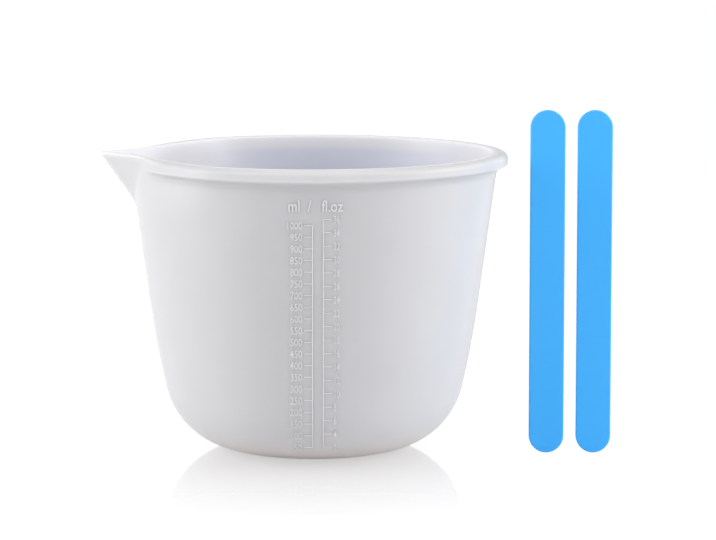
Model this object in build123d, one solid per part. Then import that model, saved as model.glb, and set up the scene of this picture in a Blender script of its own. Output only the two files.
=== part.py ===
from build123d import *

import math
import os

# A resin mixing cup, cast in one piece in soft silicone, and the two stir sticks that stand beside it.
# Sizes are millimetres and degrees. The origin is the middle of the cup's base, +Z is up, the pouring
# spout points to -X, and the side that carries the measuring scale faces -Y.

# The cup's wall
cup_height = 116.5
neck_radius = 71.25
neck_drop = 7.7
wall_draft_degrees = 7.8
belly_height = 57.0
belly_radius = 360.0
heel_radius = 31.4
wall_thickness = 3.2
floor_thickness = 3.6
lip_bevel = 0.7
heel_flat_count = 9
belly_flat_count = 2

# The bead round the rim, which fades into the wall on both sides of the spout
bead_stand = 4.5
bead_height = 4.5
bead_top_round = 2.2
bead_under_round = 1.8
bead_corner_flat_count = 4
bead_root = 0.25
bead_fade_start_degrees = 57.0
bead_fade_radius = 40.0
bead_fade_sweep_degrees = 50.0

# The pinched spout
spout_stand = 12.75
spout_drop = 19.9
spout_half_degrees = 42.0
spout_tip_round = 2.5
spout_blend = 16.0
spout_wall = 2.6
channel_tip_round = 1.0

# The two stir sticks
stick_length = 134.0
stick_width = 13.5
stick_thickness = 3.0
stick_edge_bevel = 0.4
stick_gap = 4.8
stick_clearance = 8.1
stick_advance = 15.0

# Cuts run on past the rim by this much, so that no skin is left on it
overrun = 4.0

# Places that follow from the sizes above
bead_radius = neck_radius + bead_stand
spout_reach = neck_radius + spout_stand
left_stick_x = bead_radius + stick_clearance + stick_width / 2
right_stick_x = left_stick_x + stick_width + stick_gap


def wall_radius(height):
    """The outside radius of the straight part of the wall, which leans out by its draft."""
    below_neck = cup_height - neck_drop - height
    return neck_radius - below_neck * math.tan(math.radians(wall_draft_degrees))


def in_flats(curve, count):
    """The curve as a run of equal flats, so that what is turned from it stays light."""
    return Polyline(*[curve @ (step / count) for step in range(count + 1)])


def bowl(inset, floor, top):
    """A turned solid from floor to top, drawn in from the outside of the wall by the inset.

    Its outline is the base, the heel curve, the long belly curve and the straight wall, each running
    smoothly into the next. Both curves are laid out in flats.
    """
    lean = math.radians(wall_draft_degrees)
    outward = Vector(math.cos(lean), -math.sin(lean))
    shoulder = Vector(wall_radius(belly_height), belly_height) - outward * inset
    belly = belly_radius - inset
    heel = heel_radius - inset
    belly_centre = shoulder - outward * belly
    rise = belly_centre.Y - (floor + heel)
    base_radius = belly_centre.X + math.sqrt((belly - heel) ** 2 - rise**2)
    heel_centre = Vector(base_radius, floor + heel)
    hip = heel_centre + (heel_centre - belly_centre).normalized() * heel
    rim_radius = shoulder.X + (top - shoulder.Y) * math.tan(lean)

    base_line = Line((0, floor), (base_radius, floor))
    heel_curve = TangentArc(base_line @ 1, hip, tangent=base_line % 1)
    belly_curve = TangentArc(hip, shoulder, tangent=heel_curve % 1)
    wall_line = Line(shoulder, (rim_radius, top))
    top_line = Line((rim_radius, top), (0, top))
    axis_line = Line((0, top), (0, floor))
    heel_run = in_flats(heel_curve, heel_flat_count)
    belly_run = in_flats(belly_curve, belly_flat_count)
    outline = make_face([base_line, heel_run, belly_run, wall_line, top_line, axis_line])
    return revolve(Plane.XZ * outline, Axis.Z)


def spout_wedge(inset, tip_round, top):
    """The wedge of the spout, drawn in by the inset: a rounded point pushed down along the keel.

    The keel leans from the tip at the rim down and in to the wall, where the spout begins.
    """
    half = math.radians(spout_half_degrees)
    keel_run = spout_reach - wall_radius(cup_height - spout_drop)
    keel_lean = math.atan2(keel_run, spout_drop)
    above_rim = top - cup_height
    corner = spout_reach + (spout_tip_round - inset) / math.sin(half) - spout_tip_round
    corner += above_rim * math.tan(keel_lean)
    flank = 2 * (spout_reach - neck_radius + wall_thickness)
    back = -corner + flank * math.cos(half)
    side = flank * math.sin(half)
    wedge = make_face(Polyline((-corner, 0), (back, side), (back, -side), close=True))
    wedge = fillet(wedge.vertices().sort_by(Axis.X)[0], tip_round)
    fall = (spout_drop + overrun + above_rim) / math.cos(keel_lean)
    keel = Vector(math.sin(keel_lean), 0, -math.cos(keel_lean))
    return extrude(Pos(0, 0, top) * wedge, amount=fall, dir=keel)


def join_spout(body, wedge, blend):
    """The body and the wedge as one solid, with the corner between them rounded."""
    joined = body + wedge
    corner = new_edges(body, wedge, combined=joined)
    return fillet(corner.filter_by(lambda edge: edge.center().X < 0), blend)


def bead_section():
    """The bead's cross-section where its fade starts, rooted in the middle of the wall.

    Its face is upright, its corners are round, laid out in flats, and its underside slants in to the neck.
    """
    core = wall_radius(cup_height) - wall_thickness / 2
    face_top = Vector(bead_radius, cup_height - bead_top_round)
    under_bend = Vector(bead_radius, cup_height - bead_height)
    face_foot = under_bend + Vector(0, bead_under_round)
    neck = Vector(neck_radius - bead_root, cup_height - neck_drop)
    underside_edge = under_bend + (neck - under_bend).normalized() * bead_under_round

    top_line = Line((core, cup_height), (bead_radius - bead_top_round, cup_height))
    top_corner = TangentArc(top_line @ 1, face_top, tangent=top_line % 1)
    face_line = Line(face_top, face_foot)
    under_corner = TangentArc(face_foot, underside_edge, tangent=face_line % 1)
    underside_line = Line(underside_edge, neck)
    foot_line = Line(neck, (core, neck.Y))
    core_line = Line((core, neck.Y), (core, cup_height))
    top_run = in_flats(top_corner, bead_corner_flat_count)
    under_run = in_flats(under_corner, bead_corner_flat_count)
    outline = make_face([top_line, top_run, face_line, under_run, underside_line, foot_line, core_line])
    return Rot(0, 0, 180 + bead_fade_start_degrees) * (Plane.XZ * outline)


def rim_bead():
    """The bead: a ring turned about the cup's axis, whose ends turn tighter and run into the wall."""
    section = bead_section()
    ring = revolve(section, Axis.Z, 360 - 2 * bead_fade_start_degrees)
    turn = math.radians(180 + bead_fade_start_degrees)
    centre = Vector(math.cos(turn), math.sin(turn)) * (bead_radius - bead_fade_radius)
    end = revolve(section, Axis(centre, (0, 0, -1)), bead_fade_sweep_degrees)
    return ring + end + mirror(end, about=Plane.XZ)


def mixing_cup():
    """The whole cup: wall, spout and bead outside, and one smooth cavity with the spout's channel."""
    outside = join_spout(bowl(0, 0, cup_height), spout_wedge(0, spout_tip_round, cup_height), spout_blend)
    outside = chamfer(outside.faces().sort_by(Axis.Z)[-1].outer_wire().edges(), lip_bevel)
    mouth = cup_height + overrun
    hollow = bowl(wall_thickness, floor_thickness, mouth)
    channel = spout_wedge(spout_wall, channel_tip_round, mouth)
    cavity = join_spout(hollow, channel, spout_blend + wall_thickness)
    cup = outside + rim_bead() - cavity
    rim = cup.faces().sort_by(Axis.Z)[-1]
    return chamfer(rim.inner_wires()[0].edges(), lip_bevel)


def stir_stick(centre_x):
    """One flat stick with half-round ends and bevelled edges, standing upright on its end."""
    blank = Plane.XZ * SlotOverall(stick_length, stick_width, rotation=90)
    stick = extrude(blank, amount=stick_thickness / 2, both=True)
    faces = stick.faces().filter_by(Plane.XZ)
    stick = chamfer(faces.edges(), stick_edge_bevel)
    return Pos(centre_x, -stick_advance, stick_length / 2) * stick


pieces = {
    "cup": mixing_cup(),
    "stir_stick_left": stir_stick(left_stick_x),
    "stir_stick_right": stir_stick(right_stick_x),
}

os.makedirs("parts", exist_ok=True)
for name, piece in pieces.items():
    export_step(piece, f"parts/{name}.step")
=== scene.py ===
"""A resin mixing cup in milky silicone, with two blue stir sticks standing beside it, in metres."""

import math

import bmesh
import bpy
from mathutils import Euler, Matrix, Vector


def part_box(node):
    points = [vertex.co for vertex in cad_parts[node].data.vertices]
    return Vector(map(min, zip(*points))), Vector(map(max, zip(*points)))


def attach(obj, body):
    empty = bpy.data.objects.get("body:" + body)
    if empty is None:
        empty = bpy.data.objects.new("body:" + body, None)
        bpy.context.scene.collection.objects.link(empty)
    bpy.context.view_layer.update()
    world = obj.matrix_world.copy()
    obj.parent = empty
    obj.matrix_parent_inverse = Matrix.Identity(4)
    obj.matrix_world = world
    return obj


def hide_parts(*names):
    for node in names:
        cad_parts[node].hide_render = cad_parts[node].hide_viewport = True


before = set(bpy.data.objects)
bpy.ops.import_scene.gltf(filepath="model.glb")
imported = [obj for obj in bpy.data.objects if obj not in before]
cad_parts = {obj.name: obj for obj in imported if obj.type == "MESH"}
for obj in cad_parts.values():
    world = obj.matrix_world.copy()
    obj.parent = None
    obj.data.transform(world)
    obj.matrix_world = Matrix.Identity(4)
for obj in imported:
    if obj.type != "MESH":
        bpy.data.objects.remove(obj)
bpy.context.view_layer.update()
scene = bpy.context.scene

# The camera: a long lens, a little above the rim, that looks slightly down on the front of the cup,
# where the measuring scale is. Its lens and sensor are in millimetres.
camera_place = Vector((0.01717, -1.3755, 0.2482))
camera_pitch = math.radians(7.39)
camera_lens = 177.6
camera_sensor_width = 36.0

camera_data = bpy.data.cameras.new("camera")
camera_data.lens = camera_lens
camera_data.sensor_width = camera_sensor_width
camera = bpy.data.objects.new("camera", camera_data)
camera.location = camera_place
camera.rotation_euler = Euler((math.radians(90) - camera_pitch, 0, 0))
scene.collection.objects.link(camera)
scene.camera = camera

# The mixing cup: one piece of milky silicone, cast in a two-part mould. A turned wall with a heavy
# bead round its rim, which is drawn out on one side into a pinched pouring spout. The bead fades into
# the wall on both sides of the spout.
cup_low, cup_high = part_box("cup")
rim_height = cup_high.z
bead_stand = 0.0045
neck_radius = cup_high.y - bead_stand
neck_drop = 0.0077
neck_height = rim_height - neck_drop
wall_draft = math.radians(7.8)
belly_height = 0.057
belly_radius = 0.360
heel_radius = 0.0314
wall_thickness = 0.0032
floor_thickness = 0.0036
lip_round = 0.0006

# The bead, and the pinch of the rim beside the spout. Angles round the cup are counted from the spout.
bead_height = 0.0043
bead_top_round = 0.0022
bead_under_round = 0.0006
bead_underside_slope = math.radians(24)
bead_hollow_round = 0.0040
bead_fade_start = math.radians(42)
bead_fade_end = math.radians(13)
pinch_depth = 0.0034
pinch_height = 0.020
pinch_start = math.radians(60)
pinch_end = math.radians(36)

# The spout is a wedge that leans out, and the channel is the same wedge inside it. Below its root the
# wedge falls back behind the wall.
spout_trim = 0.0004
spout_reach = spout_trim - cup_low.x
spout_drop = 0.0199
spout_half_angle = math.radians(42)
spout_tip_round = 0.0025
channel_inset = 0.0026
channel_tip_round = 0.0010
spout_blend = 0.0085
channel_blend = 0.0095
foot_blend_share = 0.35
spout_root_height = 0.082
wedge_fall = 0.060

# How finely the cup's section is drawn, and how finely it is turned. The turn's steps are smallest at
# the spout, and from a little below the spout so are the wall's.
floor_steps = 5
heel_steps = 16
belly_steps = 12
wall_steps = 14
outer_spout_steps = 16
inner_spout_steps = 24
spout_foot_margin = 0.004
hollow_steps = 10
underside_steps = 3
under_corner_steps = 8
top_corner_steps = 12
lip_steps = 6
cup_turn_steps = 400
cup_step_share_at_spout = 0.35
weld_distance = 0.00001

quarter_turn = math.pi / 2
wall_upward = Vector((math.sin(wall_draft), math.cos(wall_draft)))
wall_outward = Vector((math.cos(wall_draft), -math.sin(wall_draft)))


class Bench:
    """One node tree, with a single way of adding nodes to it."""

    def __init__(self, tree):
        self.tree = tree

    def add(self, kind, settings=None, *values, **named):
        """A node of that kind: its settings first, then values or links for its sockets.

        Where sockets share a name, the first of them is meant.
        """
        node = self.tree.nodes.new(kind)
        for name, value in (settings or {}).items():
            setattr(node, name, value)
        live = [socket for socket in node.inputs if socket.enabled]
        by_name = {socket.name.replace(" ", "_"): socket for socket in reversed(live)}
        pairs = list(zip(live, values))
        pairs += [(by_name[name], value) for name, value in named.items()]
        for socket, value in pairs:
            if isinstance(value, Wire):
                self.tree.links.new(value.socket, socket)
            else:
                socket.default_value = value
        return node

    def wire(self, kind, settings=None, *values, out=None, **named):
        """The same, giving one of the new node's outputs: the first, or the one named."""
        node = self.add(kind, settings, *values, **named)
        outputs = [socket for socket in node.outputs if socket.enabled]
        return Wire(self, next(socket for socket in outputs if out in (None, socket.name)))

    def outputs(self, node):
        """A wire for each output of a node, by its name."""
        return {socket.name: Wire(self, socket) for socket in node.outputs if socket.name}

    def parts(self, vector, names="XYZ"):
        """The X, Y and Z of a vector, or only those named."""
        found = self.outputs(self.add("ShaderNodeSeparateXYZ", None, vector))
        return [found[name] for name in names]


class Wire:
    """What runs from one node to another. Where it is a number, sums written with it add Math nodes."""

    def __init__(self, bench, socket):
        self.bench = bench
        self.socket = socket

    def math(self, operation, *values):
        return self.bench.wire("ShaderNodeMath", {"operation": operation}, *values)

    def __add__(self, other):
        return self.math("ADD", self, other)

    def __radd__(self, other):
        return self.math("ADD", other, self)

    def __sub__(self, other):
        return self.math("SUBTRACT", self, other)

    def __rsub__(self, other):
        return self.math("SUBTRACT", other, self)

    def __mul__(self, other):
        return self.math("MULTIPLY", self, other)

    def __rmul__(self, other):
        return self.math("MULTIPLY", other, self)

    def __truediv__(self, other):
        return self.math("DIVIDE", self, other)

    def __neg__(self):
        return self.math("MULTIPLY", self, -1.0)

    def __abs__(self):
        return self.math("ABSOLUTE", self)

    def sin(self):
        return self.math("SINE", self)

    def cos(self):
        return self.math("COSINE", self)

    def tan(self):
        return self.math("TANGENT", self)

    def arctan(self):
        return self.math("ARCTANGENT", self)

    def root(self):
        """The square root, or 0 where the number is below 0."""
        return self.math("SQRT", self.at_least(0.0))

    def rounded(self):
        return self.math("ROUND", self)

    def at_least(self, other):
        return self.math("MAXIMUM", self, other)

    def at_most(self, other):
        return self.math("MINIMUM", self, other)

    def above(self, other):
        """1 where the number is above the other, and 0 elsewhere."""
        return self.math("GREATER_THAN", self, other)

    def eased(self, start, end):
        """0 where the number is at the start and 1 where it is at the end, with an even swing between."""
        settings = {"interpolation_type": "SMOOTHSTEP"}
        return self.bench.wire("ShaderNodeMapRange", settings, self, start, end, 0.0, 1.0)

    def blended_with(self, other, distance):
        """The larger of two radii, with the corner between them rounded over the distance."""
        return self.math("SMOOTH_MAX", self, other, distance)


def new_geometry_tree(name, inputs):
    """The bench of a new tree with one geometry in and out, and a named input for each size."""
    tree = bpy.data.node_groups.new(name, "GeometryNodeTree")
    tree.interface.new_socket("Geometry", in_out="INPUT", socket_type="NodeSocketGeometry")
    tree.interface.new_socket("Geometry", in_out="OUTPUT", socket_type="NodeSocketGeometry")
    kinds = {float: "NodeSocketFloat", int: "NodeSocketInt", bpy.types.Object: "NodeSocketObject"}
    kinds[bpy.types.Material] = "NodeSocketMaterial"
    for label, value in inputs.items():
        kind = next(socket for python_type, socket in kinds.items() if isinstance(value, python_type))
        tree.interface.new_socket(label, in_out="INPUT", socket_type=kind)
    bench = Bench(tree)
    return bench, bench.outputs(bench.add("NodeGroupInput"))


def finish_geometry_tree(bench, geometry, material):
    """Ends the tree in real mesh with its material, and gives the tree."""
    real = bench.wire("GeometryNodeRealizeInstances", None, geometry)
    painted = bench.wire("GeometryNodeSetMaterial", None, real, Material=material)
    bench.add("NodeGroupOutput", None, painted)
    return bench.tree


def made_by_tree(name, start_mesh, tree, inputs):
    """A plain mesh object, made from the start mesh by the tree with these inputs."""
    helper = bpy.data.objects.new(name + "_draft", start_mesh)
    scene.collection.objects.link(helper)
    modifier = helper.modifiers.new("shape", "NODES")
    modifier.node_group = tree
    for item in tree.interface.items_tree:
        if item.in_out == "INPUT" and item.name in inputs:
            modifier[item.identifier] = inputs[item.name]
    evaluated = helper.evaluated_get(bpy.context.evaluated_depsgraph_get())
    mesh = bpy.data.meshes.new_from_object(evaluated)
    bpy.data.objects.remove(helper)
    mesh.name = name
    piece = bpy.data.objects.new(name, mesh)
    scene.collection.objects.link(piece)
    return piece


def arc_points(centre, radius, start, end, steps):
    """Points along an arc in the plane of the section, from one angle to the other."""
    angles = [start + (end - start) * step / steps for step in range(steps + 1)]
    return [centre + radius * Vector((math.cos(angle), math.sin(angle))) for angle in angles]


def line_points(start, end, steps):
    """Points along a straight line, with both its ends."""
    return [start.lerp(end, step / steps) for step in range(steps + 1)]


def heights_after(start, end, steps):
    """Heights from one to the other in even steps, without the first."""
    return [start + (end - start) * step / steps for step in range(1, steps + 1)]


def wall_radius(height, inset=0.0):
    """The radius of the straight part of the wall, drawn in by the inset."""
    return neck_radius - (neck_height - height) * math.tan(wall_draft) - inset / math.cos(wall_draft)


def bowl_points(inset, floor):
    """The section from the middle of the floor, round the heel and up the belly to the straight wall."""
    shoulder = Vector((wall_radius(belly_height), belly_height)) - wall_outward * inset
    belly = belly_radius - inset
    heel = heel_radius - inset
    belly_centre = shoulder - wall_outward * belly
    rise = belly_centre.y - (floor + heel)
    foot = Vector((belly_centre.x + math.sqrt((belly - heel) ** 2 - rise**2), floor))
    heel_centre = foot + Vector((0, heel))
    hip = math.atan2(heel_centre.y - belly_centre.y, heel_centre.x - belly_centre.x)
    floor_run = line_points(Vector((0, floor)), foot, floor_steps)
    heel_run = arc_points(heel_centre, heel, -quarter_turn, hip, heel_steps)
    belly_run = arc_points(belly_centre, belly, hip, -wall_draft, belly_steps)
    return floor_run[:-1] + heel_run[:-1] + belly_run


def bead_points():
    """The bead's section: a hollow out of the wall, its slanted underside, its face and its top round."""
    bead_radius = neck_radius + bead_stand
    under_bend = Vector((bead_radius, rim_height - bead_height))
    slope = bead_underside_slope
    slant = Vector((math.cos(slope), math.sin(slope)))
    reach = bead_radius - wall_radius(under_bend.y)
    corner = under_bend - slant * (reach / (slant.x - slant.y * math.tan(wall_draft)))
    corner_half = (quarter_turn + slope + wall_draft) / 2
    hollow_foot = corner - wall_upward * (bead_hollow_round / math.tan(corner_half))
    hollow_centre = hollow_foot + wall_outward * bead_hollow_round
    hollow_start = math.pi - wall_draft
    hollow_end = quarter_turn + slope
    bend = quarter_turn - slope
    under_radius = bead_under_round / math.tan(bend / 2)
    under_centre = Vector((bead_radius - under_radius, under_bend.y + bead_under_round))
    top_centre = Vector((bead_radius - bead_top_round, rim_height - bead_top_round))

    hollow = arc_points(hollow_centre, bead_hollow_round, hollow_start, hollow_end, hollow_steps)
    underside = line_points(hollow[-1], under_bend - slant * bead_under_round, underside_steps)
    under_corner = arc_points(under_centre, under_radius, -bend, 0.0, under_corner_steps)
    top_corner = arc_points(top_centre, bead_top_round, 0.0, quarter_turn, top_corner_steps)
    return hollow[:-1] + underside[:-1] + under_corner + top_corner


def cup_section():
    """Rows of the section, from under the base up the outside, over the rim and down to the floor.

    Each row has the wall's radius, the height, the bead's radius, and 1 where it lies inside the cup.
    """
    spout_foot = rim_height - spout_drop - spout_foot_margin
    bead = bead_points()
    outer_heights = heights_after(belly_height, spout_foot, wall_steps)
    outer_heights += heights_after(spout_foot, bead[0].y, outer_spout_steps)[:-1]
    lip_turns = [quarter_turn * step / lip_steps for step in range(lip_steps + 1)]
    inner_heights = [rim_height - lip_round * (1 - math.cos(lip_turn)) for lip_turn in lip_turns]
    inner_heights += heights_after(inner_heights[-1], spout_foot, inner_spout_steps)
    inner_heights += heights_after(spout_foot, belly_height, wall_steps)[:-1]
    inner_bowl = reversed(bowl_points(wall_thickness, floor_thickness))

    rows = [(point.x, point.y, 0.0, 0.0) for point in bowl_points(0.0, 0.0)]
    rows += [(wall_radius(height), height, 0.0, 0.0) for height in outer_heights]
    rows += [(wall_radius(point.y), point.y, point.x, 0.0) for point in bead]
    rows += [(wall_radius(height, wall_thickness), height, 0.0, 1.0) for height in inner_heights]
    rows += [(point.x, point.y, 0.0, 1.0) for point in inner_bowl]
    return rows


def section_mesh(rows):
    """The section as a row of loose points, with what the tree needs to know about each of them."""
    radii, heights, bead_radii, insides = zip(*rows)
    mesh = bpy.data.meshes.new("cup_section")
    mesh.from_pydata([(radius, 0.0, height) for radius, height in zip(radii, heights)], [], [])
    for layer_name, values in (("bead_radius", bead_radii), ("inside", insides)):
        layer = mesh.attributes.new(layer_name, "FLOAT", "POINT")
        layer.data.foreach_set("value", values)
    return mesh


# The corners are where the flanks of the spout and of the channel would meet, if their tips weren't
# rounded. The keel is the spout's lowest line, from its foot on the wall out to its tip at the rim.
half_sine = math.sin(spout_half_angle)
spout_corner = spout_reach + spout_tip_round / half_sine - spout_tip_round
channel_corner = spout_corner - channel_inset / half_sine
channel_tip = channel_corner - channel_tip_round / half_sine + channel_tip_round
keel_lean = math.atan2(spout_reach - wall_radius(rim_height - spout_drop), spout_drop)


def tip_softness(corner, tip):
    """The angle that rounds the wedge's point off from its corner to its tip."""
    return math.asin(corner * half_sine / tip) - spout_half_angle


def cup_tree(inputs):
    """Turns the section about the cup's axis, and draws the spout and the bead's ends out of it."""
    bench, size = new_geometry_tree("turned_cup", inputs)
    section = size["Geometry"]
    rim = size["Rim Height"]
    lip = size["Lip Round"]

    # The grid has a row for each point of the section, and runs from -0.5 to 0.5 both ways
    rows = bench.wire("GeometryNodeAttributeDomainSize", None, section)
    grid = bench.wire("GeometryNodeMeshGrid", None, 1.0, 1.0, rows, size["Turn Steps"] + 1)
    along_section, round_cup = bench.parts(bench.wire("GeometryNodeInputPosition"), "XY")
    row = ((along_section + 0.5) * (rows - 1)).rounded()

    def of_row(field, kind="FLOAT"):
        return bench.wire("GeometryNodeSampleIndex", {"data_type": kind}, section, field, row)

    def stored_of_row(name):
        return of_row(bench.wire("GeometryNodeInputNamedAttribute", {"data_type": "FLOAT"}, name))

    section_place = of_row(bench.wire("GeometryNodeInputPosition"), "FLOAT_VECTOR")
    plain_radius, height = bench.parts(section_place, "XZ")
    bead = stored_of_row("bead_radius")
    inside = stored_of_row("inside")
    side = 1 - inside * 2

    # The turn is counted from the spout, half round to each side, and its steps are smallest there
    swing = round_cup * 2.0
    spread = cup_step_share_at_spout + (1 - cup_step_share_at_spout) * swing * swing
    turn = swing * math.pi * spread
    away = abs(turn)

    def chosen(outside_value, inside_value):
        return outside_value + inside * (inside_value - outside_value)

    softness = chosen(size["Spout Softness"], size["Channel Softness"])
    half = size["Spout Half Angle"]
    soft_away = (away * away + softness * softness).root().at_most(quarter_turn - half)
    corner_at_rim = chosen(size["Spout Corner"], size["Channel Corner"])
    inset = inside * size["Wall Thickness"] / size["Wall Draft"].cos()
    blend_at_rim = chosen(size["Spout Blend"], size["Channel Blend"])
    pinched = size["Pinch Depth"] * away.eased(size["Pinch Start"], size["Pinch End"])

    # Each of these gives a radius or a distance for a height on the wall. Where a value differs
    # between the outside and the inside, it has been chosen above.
    def blend(level):
        foot = size["Foot Blend Share"]
        risen = level.eased(rim - size["Spout Drop"], rim)
        return blend_at_rim * (foot + (1 - foot) * risen)

    def wedge(level):
        corner = corner_at_rim - (rim - level) * size["Keel Lean"].tan()
        below_spout = level.eased(size["Spout Root Height"], size["Belly Height"])
        return corner * half.sin() / (half + soft_away).sin() - size["Wedge Fall"] * below_spout

    def pinch(level):
        return pinched * level.eased(rim - size["Pinch Height"], rim)

    def straight_wall(level):
        upright = size["Neck Radius"] - (size["Neck Height"] - level) * size["Wall Draft"].tan() - inset
        return upright - pinch(level)

    def with_wedge(wall, level):
        return wall.blended_with(wedge(level), blend(level))

    drawn = with_wedge(plain_radius - pinch(height), height)
    rim_drawn = with_wedge(straight_wall(rim), rim)

    # The lip is rounded between the flat rim and the wall, which leans by its own angle at each turn
    below = rim - lip * 2
    below_drawn = with_wedge(straight_wall(below), below)
    lean = ((rim_drawn - below_drawn) / (lip * 2)).arctan() * side
    lip_foot = rim - lip * (1 + lean.sin())
    over_centre = height - rim + lip
    bulge = (lip * lip - over_centre * over_centre).root()
    lip_drawn = rim_drawn - side * (lip * (lean / 2 + quarter_turn / 2).tan() - bulge)
    shell = drawn + height.above(lip_foot) * (lip_drawn - drawn)

    stand = (bead - plain_radius) * away.eased(size["Bead Fade End"], size["Bead Fade Start"])
    radius = shell + bead.above(0.0) * stand

    point = bench.wire("ShaderNodeCombineXYZ", None, -radius * turn.cos(), radius * turn.sin(), height)
    marked = bench.wire("GeometryNodeStoreNamedAttribute", None, grid, Name="inside", Value=inside)
    shaped = bench.wire("GeometryNodeSetPosition", None, marked, Position=point)
    closed = bench.wire("GeometryNodeMergeByDistance", None, shaped, Distance=weld_distance)
    smooth = bench.wire("GeometryNodeSetShadeSmooth", None, closed)
    return finish_geometry_tree(bench, smooth, size["Silicone"])


def new_material(name):
    """An empty material, with the bench for its tree."""
    material = bpy.data.materials.new(name)
    material.use_nodes = True
    material.node_tree.nodes.clear()
    return material, Bench(material.node_tree)


def end_in_principled(bench, **sockets):
    """Ends a material in the main shader, with a value or a wire for each of its named sockets."""
    shader = bench.wire("ShaderNodeBsdfPrincipled", None, **sockets)
    bench.add("ShaderNodeOutputMaterial", None, shader)


def mixed_color(bench, share, first, second):
    """A colour between two others. The share is a number from 0 to 1, and may vary over the surface."""
    return bench.wire("ShaderNodeMix", {"data_type": "RGBA"}, Factor=share, A=first, B=second)


def noise(bench, place, scale, detail, roughness):
    """Soft clouds from 0 to 1, smaller for a larger scale."""
    sockets = {"Vector": place, "Scale": scale, "Detail": detail, "Roughness": roughness}
    return bench.wire("ShaderNodeTexNoise", None, **sockets)


# The silicone's colours: plain on the wall's outside, and elsewhere painted light and shade that stand in
# for the light through it. The inside is painted bluish and paler towards its two sides, the bead is
# painted darker there, the thick rim paler, the spout lighter, and the foot darker and warmer near the
# floor.
white = (1.0, 1.0, 1.0, 1.0)
silicone_color = (0.548, 0.548, 0.564, 1.0)
# Painted light: the spout's outside is painted a lighter copy of the silicone.
spout_painted_light_color = (0.590, 0.590, 0.604, 1.0)
# Painted light and shade: the inside is painted bluish, and paler towards its two sides, for the light that
# comes through the wall.
inside_painted_light_color = (0.625, 0.63, 0.70, 1.0)
inside_side_painted_light_color = (0.70, 0.70, 0.715, 1.0)
# Painted light: the thick rim is painted paler, for the light the thick silicone carries.
thick_painted_light_color = (0.620, 0.620, 0.634, 1.0)
# Painted shade: the bead is painted darker towards its two ends, against the side lamps' light on them.
thick_side_painted_shade_color = (0.530, 0.530, 0.543, 1.0)
# Painted light: the inside of the thick rim is painted paler still.
thick_inside_painted_light_color = (0.70, 0.70, 0.725, 1.0)
# Painted shade: the outside is painted darker and warmer towards the floor.
base_painted_shade_color = (0.635, 0.58, 0.56, 1.0)
base_painted_shade_share = 0.8
base_painted_shade_height = 0.014
thick_below_rim = 0.0035
thin_below_rim = 0.0065
inside_middle = 0.008
inside_middle_half = 0.030
inside_side_light_reach = 0.062
bead_middle_half = 0.005
bead_side_shade_reach = 0.055
spout_painted_light_start = 0.064
spout_painted_light_end = 0.074

cloud_scale = 38.0
cloud_detail = 3.0
cloud_roughness = 0.5
cloud_white_share = 0.06
grain_scale = 900.0
grain_detail = 2.0
grain_roughness = 0.6
grain_strength = 0.08
grain_depth = 0.0002
satin_roughness = 0.36
satin_roughness_swing = 0.10
silicone_ior = 1.41
silicone_glow_depth = 0.004
even_glow = (1.0, 1.0, 1.0)


def milky_silicone():
    """Milky silicone: cloudy all through, with a satin skin from the mould, and painted light and shade:
    paler where it is thick, bluish inside, and lighter or darker where the light falls.
    """
    material, bench = new_material("milky_silicone")
    place = bench.wire("ShaderNodeTexCoord", out="Object")
    across, height = bench.parts(place, "XZ")
    cloud = noise(bench, place, cloud_scale, cloud_detail, cloud_roughness)
    grain = noise(bench, place, grain_scale, grain_detail, grain_roughness)
    inside = bench.wire("ShaderNodeAttribute", {"attribute_name": "inside"}, out="Fac")
    # Masks for the painted light and shade: the thick rim, the foot near the floor, the bowl's sides, the
    # bead's ends and the spout.
    thick_painted_light = height.eased(rim_height - thin_below_rim, rim_height - thick_below_rim)
    low = height.eased(base_painted_shade_height, 0.0)
    bowl_side_painted_light = abs(across - inside_middle).eased(inside_middle_half, inside_side_light_reach)
    bead_end_painted_shade = abs(across).eased(bead_middle_half, bead_side_shade_reach)
    spout_painted_light = (-across).eased(spout_painted_light_start, spout_painted_light_end) * (1 - inside)

    bowl = mixed_color(bench, bowl_side_painted_light, inside_painted_light_color, inside_side_painted_light_color)
    side = mixed_color(bench, inside, silicone_color, bowl)
    wall = mixed_color(bench, low * (1 - inside) * base_painted_shade_share, side, base_painted_shade_color)
    bead = mixed_color(bench, bead_end_painted_shade, thick_painted_light_color, thick_side_painted_shade_color)
    rim = mixed_color(bench, inside, bead, thick_inside_painted_light_color)
    turned = mixed_color(bench, thick_painted_light, wall, rim)
    color = mixed_color(bench, spout_painted_light, turned, spout_painted_light_color)
    clouded = mixed_color(bench, cloud * cloud_white_share, color, white)
    roughness = satin_roughness + cloud * satin_roughness_swing
    normal = bench.wire("ShaderNodeBump", None, Strength=grain_strength, Distance=grain_depth, Height=grain)
    end_in_principled(bench, Base_Color=clouded, Roughness=roughness, Normal=normal, IOR=silicone_ior,
                      Subsurface_Weight=1.0, Subsurface_Scale=silicone_glow_depth,
                      Subsurface_Radius=even_glow)
    return material


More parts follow.
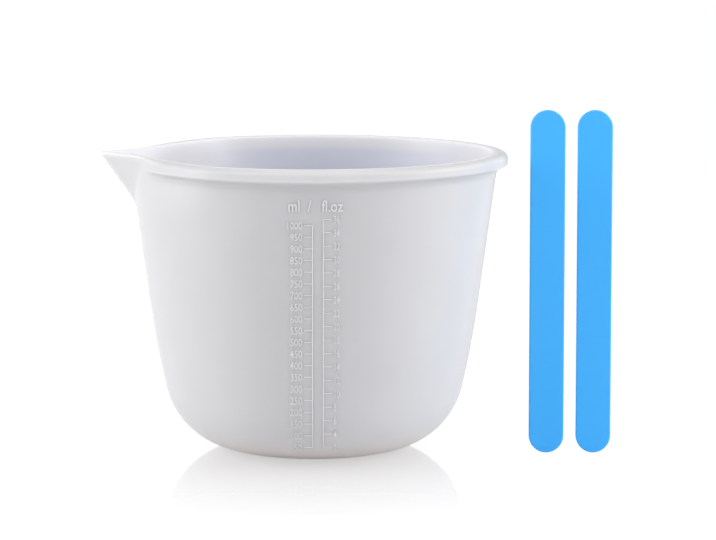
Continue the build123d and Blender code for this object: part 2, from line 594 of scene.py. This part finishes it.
cup_inputs = {
    "Turn Steps": cup_turn_steps,
    "Rim Height": rim_height,
    "Neck Radius": neck_radius,
    "Neck Height": neck_height,
    "Wall Draft": wall_draft,
    "Wall Thickness": wall_thickness,
    "Spout Corner": spout_corner,
    "Channel Corner": channel_corner,
    "Spout Half Angle": spout_half_angle,
    "Keel Lean": keel_lean,
    "Spout Softness": tip_softness(spout_corner, spout_reach),
    "Channel Softness": tip_softness(channel_corner, channel_tip),
    "Spout Blend": spout_blend,
    "Channel Blend": channel_blend,
    "Foot Blend Share": foot_blend_share,
    "Spout Drop": spout_drop,
    "Belly Height": belly_height,
    "Spout Root Height": spout_root_height,
    "Wedge Fall": wedge_fall,
    "Bead Fade Start": bead_fade_start,
    "Bead Fade End": bead_fade_end,
    "Pinch Depth": pinch_depth,
    "Pinch Height": pinch_height,
    "Pinch Start": pinch_start,
    "Pinch End": pinch_end,
    "Lip Round": lip_round,
    "Silicone": milky_silicone(),
}
cup = made_by_tree("cup_body", section_mesh(cup_section()), cup_tree(cup_inputs), cup_inputs)
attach(cup, "cup")
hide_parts("cup")

# The measuring scale: thin raised lines, numbers and words, cast with the wall from grooves in the
# mould. It is drawn flat on a sheet that faces the front, and laid from there onto the wall.
sight_point = camera_place
sight_length = 10.0
sheet_up = Vector((0, math.sin(camera_pitch), math.cos(camera_pitch)))
sheet_forward = Vector((0, math.cos(camera_pitch), -math.sin(camera_pitch)))
sheet_centre = sight_point - sheet_forward * sight_point.dot(sheet_forward)

# The two ladders of lines, in places on the sheet
millilitre_rail = -0.01802
millilitre_tick = 0.00336
millilitre_step = 0.004615
millilitre_count = 20
millilitres_in_step = 50
ounce_rail = -0.01371
ounce_tick = 0.00340
ounce_step = 0.005302
ounce_count = 18
ounces_in_step = 2
scale_foot = -0.07009
line_radius = 0.00017
line_sides = 10
rail_points = 90
tick_points = 5

# The numbers and words
number_height = 0.0030
millilitre_width_share = 0.80
ounce_width_share = 0.62
number_gap = 0.0006
word_height = 0.0046
word_line = 0.0254
word_width_share = 0.80
millilitre_word_gap = 0.0014
slash_place = -0.01915
ounce_word_shift = -0.0006
capital_share = 0.73
stroke_growth_share = 0.022
letter_curve_steps = 3
number_stand = 0.00007
word_stand = 0.00012
letter_weld_distance = 0.0000001

# Painted light: the raised lines and lettering are painted paler than the wall, for the light they scatter.
line_painted_light_color = (0.74, 0.74, 0.755, 1.0)
lettering_painted_light_color = (0.705, 0.705, 0.72, 1.0)
mark_cloud_scale = 120.0
mark_cloud_detail = 2.0
mark_cloud_share = 0.25
mark_roughness = 0.34
mark_roughness_swing = 0.12


def vector_sum(bench, first, second):
    """The sum of two vectors."""
    return bench.wire("ShaderNodeVectorMath", {"operation": "ADD"}, first, second)


def vector_times(bench, vector, number):
    """A vector made longer by the number."""
    return bench.wire("ShaderNodeVectorMath", {"operation": "SCALE"}, vector, Scale=number)


def laid_on_wall(bench, size, across, up):
    """Where a place on the sheet meets the wall, seen from the sight point, and the way the wall faces."""
    start = bench.wire("ShaderNodeCombineXYZ", None, *sight_point)
    step_across = bench.wire("ShaderNodeCombineXYZ", None, across, 0.0, 0.0)
    on_sheet = vector_sum(bench, vector_times(bench, tuple(sheet_up), up), step_across)
    from_sight = vector_sum(bench, on_sheet, tuple(sheet_centre - sight_point))
    wall = bench.wire("GeometryNodeObjectInfo", None, size["Wall"], out="Geometry")
    hit = bench.add("GeometryNodeRaycast", None, Target_Geometry=wall, Source_Position=start,
                    Ray_Direction=from_sight, Ray_Length=sight_length)
    found = bench.outputs(hit)
    return found["Hit Position"], found["Hit Normal"]


def ladder_tree(inputs):
    """A rail with a tick at every step, as raised round lines that lie half in the wall."""
    bench, size = new_geometry_tree("scale_ladder", inputs)

    def on_sheet(across, up):
        return bench.wire("ShaderNodeCombineXYZ", None, across, 0.0, up)

    def sheet_line(start, end, points):
        line = bench.wire("GeometryNodeCurvePrimitiveLine", None, start, end)
        return bench.wire("GeometryNodeResampleCurve", None, line, Count=points)

    last = size["Foot"] + size["Step"] * (size["Count"] - 1)
    rail_foot = on_sheet(size["Rail"], size["Foot"])
    rail = sheet_line(rail_foot, on_sheet(size["Rail"], last), size["Rail Points"])
    tick = sheet_line(on_sheet(size["Rail"], 0.0), on_sheet(size["Tick End"], 0.0), size["Tick Points"])
    rungs = bench.wire("GeometryNodeMeshLine", None, Count=size["Count"],
                       Offset=on_sheet(0.0, size["Step"]), Start_Location=on_sheet(0.0, size["Foot"]))
    ticks = bench.wire("GeometryNodeInstanceOnPoints", None, rungs, Instance=tick)
    real_ticks = bench.wire("GeometryNodeRealizeInstances", None, ticks)
    lines = bench.wire("GeometryNodeJoinGeometry", None, rail)
    bench.tree.links.new(real_ticks.socket, lines.socket.node.inputs[0])

    across, up = bench.parts(bench.wire("GeometryNodeInputPosition"), "XZ")
    place = laid_on_wall(bench, size, across, up)[0]
    laid = bench.wire("GeometryNodeSetPosition", None, lines, Position=place)
    ring = bench.wire("GeometryNodeCurvePrimitiveCircle", None, line_sides, Radius=size["Line Radius"])
    swept = bench.wire("GeometryNodeCurveToMesh", None, laid, ring, Fill_Caps=True)
    smooth = bench.wire("GeometryNodeSetShadeSmooth", None, swept)
    return finish_geometry_tree(bench, smooth, size["Silicone"])


def marks_tree(inputs):
    """Lays flat lettering on the wall. Its depth on the sheet becomes its height above the wall."""
    bench, size = new_geometry_tree("scale_marks", inputs)
    across, depth, up = bench.parts(bench.wire("GeometryNodeInputPosition"))
    place, facing = laid_on_wall(bench, size, across, up)
    point = vector_sum(bench, place, vector_times(bench, facing, depth))
    laid = bench.wire("GeometryNodeSetPosition", None, size["Geometry"], Position=point)
    return finish_geometry_tree(bench, laid, size["Silicone"])


def letter_mesh(text, alignment, letter_height, stand):
    """One word or number as a closed mesh, which stands out by the same on both sides of the sheet."""
    curve = bpy.data.curves.new("lettering", "FONT")
    curve.body = text
    curve.align_x = alignment
    curve.size = letter_height / capital_share
    curve.extrude = stand
    curve.offset = letter_height * stroke_growth_share
    curve.resolution_u = letter_curve_steps
    helper = bpy.data.objects.new("lettering", curve)
    scene.collection.objects.link(helper)
    evaluated = helper.evaluated_get(bpy.context.evaluated_depsgraph_get())
    letters = bpy.data.meshes.new_from_object(evaluated)
    bpy.data.objects.remove(helper)
    joined = bmesh.new()
    joined.from_mesh(letters)
    bmesh.ops.remove_doubles(joined, verts=joined.verts, dist=letter_weld_distance)
    bmesh.ops.recalc_face_normals(joined, faces=joined.faces)
    joined.to_mesh(letters)
    joined.free()
    return letters


def flat_lettering(name, words, stand):
    """One mesh of lettering on the sheet, from (text, place, alignment, height, width share)."""
    points = []
    faces = []
    for text, place, alignment, letter_height, width_share in words:
        letters = letter_mesh(text, alignment, letter_height, stand)
        first = len(points)
        foot = place.y - letter_height / 2
        for vertex in letters.vertices:
            points.append((place.x + vertex.co.x * width_share, vertex.co.z, foot + vertex.co.y))
        for polygon in letters.polygons:
            faces.append([first + corner for corner in polygon.vertices])
    mesh = bpy.data.meshes.new(name)
    mesh.from_pydata(points, [], faces)
    return mesh


def scale_silicone(name, painted_pale_color):
    """The same silicone where it stands out in thin lines, painted paler for the light that they scatter.
    """
    material, bench = new_material(name)
    place = bench.wire("ShaderNodeTexCoord", out="Object")
    cloud = noise(bench, place, mark_cloud_scale, mark_cloud_detail, cloud_roughness)
    color = mixed_color(bench, cloud * mark_cloud_share, painted_pale_color, silicone_color)
    roughness = mark_roughness + cloud * mark_roughness_swing
    end_in_principled(bench, Base_Color=color, Roughness=roughness, IOR=silicone_ior)
    return material


line_material = scale_silicone("scale_line_silicone", line_painted_light_color)
for name, rail, tick, step, count in (
    ("millilitre_ticks", millilitre_rail, -millilitre_tick, millilitre_step, millilitre_count),
    ("ounce_ticks", ounce_rail, ounce_tick, ounce_step, ounce_count),
):
    ladder_inputs = {
        "Wall": cup,
        "Silicone": line_material,
        "Rail": rail,
        "Tick End": rail + tick,
        "Foot": scale_foot,
        "Step": step,
        "Count": count,
        "Rail Points": rail_points,
        "Tick Points": tick_points,
        "Line Radius": line_radius,
    }
    ladder = made_by_tree(name, bpy.data.meshes.new(name), ladder_tree(ladder_inputs), ladder_inputs)
    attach(ladder, "cup")

number_words = []
for rung in range(millilitre_count):
    text = str(millilitres_in_step * (rung + 1))
    place = Vector((millilitre_rail - millilitre_tick - number_gap, scale_foot + rung * millilitre_step))
    number_words.append((text, place, "RIGHT", number_height, millilitre_width_share))
for rung in range(ounce_count):
    text = str(ounces_in_step * (rung + 1))
    place = Vector((ounce_rail + ounce_tick + number_gap, scale_foot + rung * ounce_step))
    number_words.append((text, place, "LEFT", number_height, ounce_width_share))

unit_words = []
for text, across, alignment in (
    ("ml", millilitre_rail - millilitre_tick - millilitre_word_gap, "RIGHT"),
    ("/", slash_place, "CENTER"),
    ("fl.oz", ounce_rail + ounce_word_shift, "LEFT"),
):
    unit_words.append((text, Vector((across, word_line)), alignment, word_height, word_width_share))

lettering_inputs = {"Wall": cup, "Silicone": scale_silicone("scale_lettering_silicone", lettering_painted_light_color)}
for name, words, stand in (
    ("scale_numbers", number_words, number_stand),
    ("scale_words", unit_words, word_stand),
):
    sheet = flat_lettering(name, words, stand)
    lettering = made_by_tree(name, sheet, marks_tree(lettering_inputs), lettering_inputs)
    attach(lettering, "cup")

# The two stir sticks: flat strips of blue silicone with half-round ends and soft edges, cast in an
# open tray mould. They stand on their ends beside the cup.
stick_end_steps = 40
stick_edge_round = 0.0006
stick_edge_steps = 4
stick_edge_profile = 0.5
stick_sharp_angle = 1.0
stick_strip_corners = 4
stick_color = (0.042, 0.415, 0.925, 1.0)
stick_pale_color = (0.054, 0.440, 0.94, 1.0)
pigment_scale = 60.0
pigment_detail = 3.0
stick_grain_scale = 1500.0
stick_grain_strength = 0.15
stick_grain_depth = 0.0001
matte_roughness = 0.50
matte_roughness_swing = 0.12
stick_glow_share = 0.25
stick_glow_depth = 0.0015
stick_glow_by_color = (0.4, 0.8, 1.0)


def stick_outline(low, high):
    """The outline of one stick's back face, round both half-round ends."""
    half_width = (high.x - low.x) / 2
    middle = (low + high) / 2
    straight = (high.z - low.z) / 2 - half_width
    outline = []
    for end, start_angle in ((1, 0.0), (-1, math.pi)):
        for step in range(stick_end_steps + 1):
            angle = start_angle + math.pi * step / stick_end_steps
            across = middle.x + half_width * math.cos(angle)
            up = middle.z + end * straight + half_width * math.sin(angle)
            outline.append(Vector((across, high.y, up)))
    return outline


def stick_body(name, low, high):
    """The outline drawn forward to the stick's thickness, with its edges rounded."""
    shape = bmesh.new()
    back = shape.faces.new([shape.verts.new(point) for point in stick_outline(low, high)])
    drawn = bmesh.ops.extrude_face_region(shape, geom=[back])
    front = [item for item in drawn["geom"] if isinstance(item, bmesh.types.BMVert)]
    bmesh.ops.translate(shape, verts=front, vec=(0, low.y - high.y, 0))
    inner_edges = [edge for edge in shape.edges if len(edge.link_faces) == 2]
    rims = [edge for edge in inner_edges if edge.calc_face_angle() > stick_sharp_angle]
    bmesh.ops.bevel(shape, geom=rims, offset=stick_edge_round, segments=stick_edge_steps,
                    profile=stick_edge_profile, affect="EDGES")
    bmesh.ops.recalc_face_normals(shape, faces=shape.faces)
    for face in shape.faces:
        face.smooth = len(face.verts) <= stick_strip_corners
    mesh = bpy.data.meshes.new(name)
    shape.to_mesh(mesh)
    shape.free()
    return mesh


def blue_silicone():
    """Opaque blue silicone with a matte skin and faint clouds in its pigment."""
    material, bench = new_material("blue_silicone")
    place = bench.wire("ShaderNodeTexCoord", out="Object")
    cloud = noise(bench, place, pigment_scale, pigment_detail, cloud_roughness)
    grain = noise(bench, place, stick_grain_scale, grain_detail, grain_roughness)
    color = mixed_color(bench, cloud, stick_color, stick_pale_color)
    roughness = matte_roughness + cloud * matte_roughness_swing
    normal = bench.wire("ShaderNodeBump", None, Strength=stick_grain_strength,
                        Distance=stick_grain_depth, Height=grain)
    end_in_principled(bench, Base_Color=color, Roughness=roughness, Normal=normal, IOR=silicone_ior,
                      Subsurface_Weight=stick_glow_share, Subsurface_Scale=stick_glow_depth,
                      Subsurface_Radius=stick_glow_by_color)
    return material


stick_material = blue_silicone()
for stick_name in ("stir_stick_left", "stir_stick_right"):
    stick_mesh = stick_body(stick_name + "_body", *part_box(stick_name))
    stick_mesh.materials.append(stick_material)
    stick = bpy.data.objects.new(stick_name + "_body", stick_mesh)
    scene.collection.objects.link(stick)
    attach(stick, stick_name)
    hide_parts(stick_name)

# The studio: a wide pale floor under a white sky, polished only under and before the cup so that it
# mirrors the cup's foot, with a large soft lamp on each side.
floor_half_width = 3.0
floor_front = -3.0
floor_back = 9.0
floor_color = (0.86, 0.86, 0.86, 1.0)
floor_glow = 1.05
floor_glow_share = 0.88
polish_share = 0.42
polish_roughness = 0.06
polish_start = 0.045
polish_end = 0.165
polish_back_start = 0.040
polish_back_end = 0.120
polish_half_width = 0.057
polish_edge = 0.025
sky_strength = 0.80
sky_shown_strength = 1.0
lamp_size = 0.9
lamp_beside = 1.32
lamp_ahead = 0.28
lamp_height = 0.38
left_lamp_power = 12.6
right_lamp_power = 13.6


def seen_directly(bench):
    """1 for the rays that show the background, and 0 for those that only carry its light."""
    path = bench.outputs(bench.add("ShaderNodeLightPath"))
    by_way_of_cup = path["Is Glossy Ray"].at_least(path["Is Transmission Ray"])
    return path["Is Camera Ray"].at_least(by_way_of_cup)


def floor_paper():
    """White paper that melts into the background, with a polished patch that fades all round."""
    material, bench = new_material("floor_paper")
    across, along = bench.parts(bench.wire("ShaderNodeTexCoord", out="Object"), "XY")
    glow = bench.wire("ShaderNodeEmission", None, white, floor_glow)
    paper = bench.wire("ShaderNodeBsdfDiffuse", None, floor_color)
    shown = seen_directly(bench) * floor_glow_share
    lit = bench.wire("ShaderNodeMixShader", None, shown, paper, glow)
    fade = bench.wire("ShaderNodeMapRange", None, -along, polish_start, polish_end, 1.0, 0.0)
    ahead = fade * along.eased(polish_back_end, polish_back_start)
    beside = abs(across).eased(polish_half_width + polish_edge, polish_half_width)
    mirror = bench.wire("ShaderNodeBsdfGlossy", None, white, Roughness=polish_roughness)
    mixed = bench.wire("ShaderNodeMixShader", None, ahead * beside * polish_share, lit, mirror)
    bench.add("ShaderNodeOutputMaterial", None, mixed)
    return material


floor_corners = [(-floor_half_width, floor_front, 0), (floor_half_width, floor_front, 0)]
floor_corners += [(floor_half_width, floor_back, 0), (-floor_half_width, floor_back, 0)]
floor_mesh = bpy.data.meshes.new("floor")
floor_mesh.from_pydata(floor_corners, [], [(0, 1, 2, 3)])
floor_mesh.materials.append(floor_paper())
floor = bpy.data.objects.new("floor", floor_mesh)
scene.collection.objects.link(floor)

sky = bpy.data.worlds.new("sky")
sky.use_nodes = True
sky.node_tree.nodes.clear()
sky_bench = Bench(sky.node_tree)
sky_light = sky_bench.wire("ShaderNodeBackground", None, white, sky_strength)
sky_shown = sky_bench.wire("ShaderNodeBackground", None, white, sky_shown_strength)
sky_mixed = sky_bench.wire("ShaderNodeMixShader", None, seen_directly(sky_bench), sky_light, sky_shown)
sky_bench.add("ShaderNodeOutputWorld", None, sky_mixed)
scene.world = sky

aim = Vector((0.0, 0.0, rim_height / 2))
for name, place, power in (
    ("left_lamp", Vector((-lamp_beside, -lamp_ahead, lamp_height)), left_lamp_power),
    ("right_lamp", Vector((lamp_beside, -lamp_ahead, lamp_height)), right_lamp_power),
):
    lamp_data = bpy.data.lights.new(name, "AREA")
    lamp_data.shape = "SQUARE"
    lamp_data.size = lamp_size
    lamp_data.energy = power
    lamp = bpy.data.objects.new(name, lamp_data)
    lamp.location = place
    lamp.rotation_euler = (aim - place).to_track_quat("-Z", "Y").to_euler()
    scene.collection.objects.link(lamp)

scene.view_settings.view_transform = "Standard"
